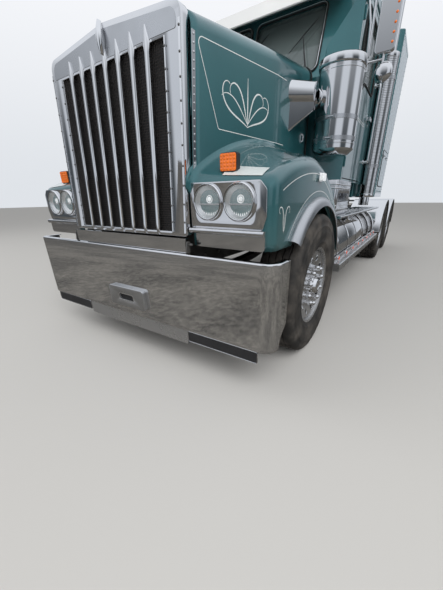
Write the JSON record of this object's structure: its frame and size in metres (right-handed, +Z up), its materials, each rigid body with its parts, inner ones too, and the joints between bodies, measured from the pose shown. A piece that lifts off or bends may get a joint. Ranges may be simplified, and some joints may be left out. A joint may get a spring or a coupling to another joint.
{
  "type": "semi truck tractor unit",
  "caption": "Long-nose highway tractor unit with tilting hood, opening doors, steered front wheels, twin-wheel tandem drive, sleeper, side stacks and a tilting fifth wheel.",
  "frame": {"origin": "bottom centre of the whole truck's bounding box, on the ground under its middle", "axes": "+X to the truck's left side, -Y forward, +Z up"},
  "size_m": [2.56, 7.22, 3.4498],
  "materials": {
    "frame_paint": "satin dark chassis paint",
    "teal_paint": "glossy teal metallic paint",
    "white_paint": "gloss white paint",
    "polished_steel": "mirror polished stainless",
    "satin_alloy": "satin aluminium",
    "mesh_steel": "dark woven mesh",
    "cast_part": "bare and painted castings",
    "tyre_rubber": "worn road tyre",
    "strap_rubber": "black straps",
    "amber_lens": "amber lens",
    "red_lens": "orange red lens",
    "lamp_glass": "clear lamp glass",
    "window_glass": "tinted window glass",
    "trim_plastic": "dark grained plastic",
    "seat_fabric": "dark cloth"
  },
  "bodies": {
    "chassis": {"frame_rails": "frame_paint", "cross_members": "frame_paint", "fuel_tanks": "polished_steel", "tank_straps": "strap_rubber", "tank_brackets": "frame_paint", "side_steps": "satin_alloy", "marker_lamps": "red_lens", "tail_bar": "frame_paint", "step_boxes": "satin_alloy", "bumper": "polished_steel", "radiator": "cast_part", "engine": "cast_part", "driveline": "cast_part", "front_axle": "cast_part", "suspension": "cast_part", "drive_axles": "cast_part", "rear_mudguards": "polished_steel", "fifth_wheel_base": "cast_part", "cab_shell": "teal_paint", "cab_back": "teal_paint", "cab_roof": "teal_paint", "windscreen": "window_glass", "sun_visor": "white_paint", "sleeper": "teal_paint", "dashboard": "trim_plastic", "seats": "seat_fabric", "air_cleaners": "polished_steel", "exhaust_stacks": "polished_steel"},
    "hood": {"hood_shell": "teal_paint", "fenders": "teal_paint", "fender_flares": "satin_alloy", "grille_surround": "polished_steel", "grille_mesh": "mesh_steel", "grille_bars": "polished_steel", "headlamp_panels": "polished_steel", "headlamps": "lamp_glass", "turn_signals": "amber_lens", "intake_ducts": "polished_steel"},
    "door_left": {"door_left": "teal_paint", "door_glass_left": "window_glass", "mirror_left": "polished_steel"},
    "door_right": {"door_right": "teal_paint", "door_glass_right": "window_glass", "mirror_right": "polished_steel"},
    "fifth_wheel": {"fifth_wheel_plate": "cast_part"},
    "knuckle_left": {"knuckle_left": "cast_part"},
    "wheel_front_left": {"tyre_front_left": "tyre_rubber", "rim_front_left": "satin_alloy"},
    "wheels_drive_1_left": {"tyres_drive_1_left": "tyre_rubber", "rims_drive_1_left": "satin_alloy"},
    "wheels_drive_2_left": {"tyres_drive_2_left": "tyre_rubber", "rims_drive_2_left": "satin_alloy"},
    "knuckle_right": {"knuckle_right": "cast_part"},
    "wheel_front_right": {"tyre_front_right": "tyre_rubber", "rim_front_right": "satin_alloy"},
    "wheels_drive_1_right": {"tyres_drive_1_right": "tyre_rubber", "rims_drive_1_right": "satin_alloy"},
    "wheels_drive_2_right": {"tyres_drive_2_right": "tyre_rubber", "rims_drive_2_right": "satin_alloy"}
  },
  "joints": [
    {"name": "hood_tilt", "type": "hinge", "parent": "chassis", "child": "hood", "pos_m": [0, -3.535, 0.905], "axis": [1, 0, 0], "range_deg": [0, 75]},
    {"name": "door_swing_left", "type": "hinge", "parent": "chassis", "child": "door_left", "pos_m": [1.005, -1.579, 1.8], "axis": [0, 0, -1], "range_deg": [0, 65]},
    {"name": "door_swing_right", "type": "hinge", "parent": "chassis", "child": "door_right", "pos_m": [-1.005, -1.579, 1.8], "axis": [0, 0, 1], "range_deg": [0, 65]},
    {"name": "fifth_wheel_tilt", "type": "hinge", "parent": "chassis", "child": "fifth_wheel", "pos_m": [0, 2.12, 1.08], "axis": [1, 0, 0], "range_deg": [-12, 12]},
    {"name": "steer_left", "type": "hinge", "parent": "chassis", "child": "knuckle_left", "pos_m": [0.905, -2.739, 0.525], "axis": [0, 0, 1], "range_deg": [-35, 35]},
    {"name": "spin_front_left", "type": "hinge", "parent": "knuckle_left", "child": "wheel_front_left", "pos_m": [1.045, -2.739, 0.525], "axis": [1, 0, 0], "continuous": true},
    {"name": "spin_drive_1_left", "type": "hinge", "parent": "chassis", "child": "wheels_drive_1_left", "pos_m": [0.88, 1.575, 0.525], "axis": [1, 0, 0], "continuous": true},
    {"name": "spin_drive_2_left", "type": "hinge", "parent": "chassis", "child": "wheels_drive_2_left", "pos_m": [0.88, 2.945, 0.525], "axis": [1, 0, 0], "continuous": true},
    {"name": "steer_right", "type": "hinge", "parent": "chassis", "child": "knuckle_right", "pos_m": [-0.905, -2.739, 0.525], "axis": [0, 0, 1], "range_deg": [-35, 35]},
    {"name": "spin_front_right", "type": "hinge", "parent": "knuckle_right", "child": "wheel_front_right", "pos_m": [-1.045, -2.739, 0.525], "axis": [1, 0, 0], "continuous": true},
    {"name": "spin_drive_1_right", "type": "hinge", "parent": "chassis", "child": "wheels_drive_1_right", "pos_m": [-0.88, 1.575, 0.525], "axis": [1, 0, 0], "continuous": true},
    {"name": "spin_drive_2_right", "type": "hinge", "parent": "chassis", "child": "wheels_drive_2_right", "pos_m": [-0.88, 2.945, 0.525], "axis": [1, 0, 0], "continuous": true}
  ],
  "couplings": [
    {"joint": "steer_right", "follows": "steer_left", "ratio": 1}
  ]
}
